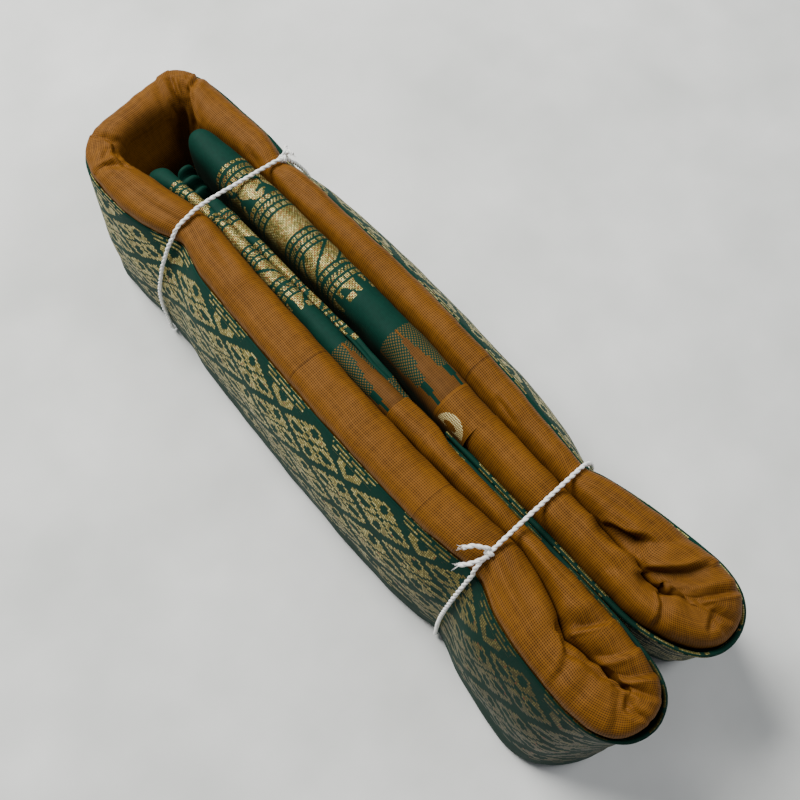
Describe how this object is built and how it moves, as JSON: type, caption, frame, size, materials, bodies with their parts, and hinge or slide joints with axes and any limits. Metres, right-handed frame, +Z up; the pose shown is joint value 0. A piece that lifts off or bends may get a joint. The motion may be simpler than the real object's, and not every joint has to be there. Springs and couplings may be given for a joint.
{
  "type": "folded saree",
  "caption": "Folded saree bundle of mustard cloth with a green and gold woven border and end piece, standing on its folds and tied with white cotton strings.",
  "frame": {"origin": "on the surface that the bundle stands on, under the middle of its box", "axes": "+Z up, +X from the round head towards the two lobes, and the side with its border in full view faces -Y"},
  "size_m": [0.3518, 0.111, 0.0884],
  "materials": {
    "body_cloth": "fine plain weave, soft silk sheen",
    "border_cloth": "green brocade with gold thread",
    "pallu_cloth": "plain green weave with gold bands",
    "cotton_string": "twisted cotton, matt"
  },
  "bodies": {
    "root": {"body_front_outer": "body_cloth", "body_back_outer": "body_cloth", "body_head_bend": "body_cloth", "body_front_lobe": "body_cloth", "body_back_lobe": "body_cloth", "body_front_inner": "body_cloth", "body_back_inner": "body_cloth", "border_front": "border_cloth", "border_back": "border_cloth", "border_head": "border_cloth", "border_front_lobe": "border_cloth", "border_back_lobe": "border_cloth", "border_front_inner": "border_cloth", "border_back_inner": "border_cloth", "pallu_front": "pallu_cloth", "pallu_back": "pallu_cloth", "pallu_middle": "pallu_cloth", "pallu_tuck": "pallu_cloth", "tie_head": "cotton_string", "tie_lobes": "cotton_string"}
  },
  "joints": []
}
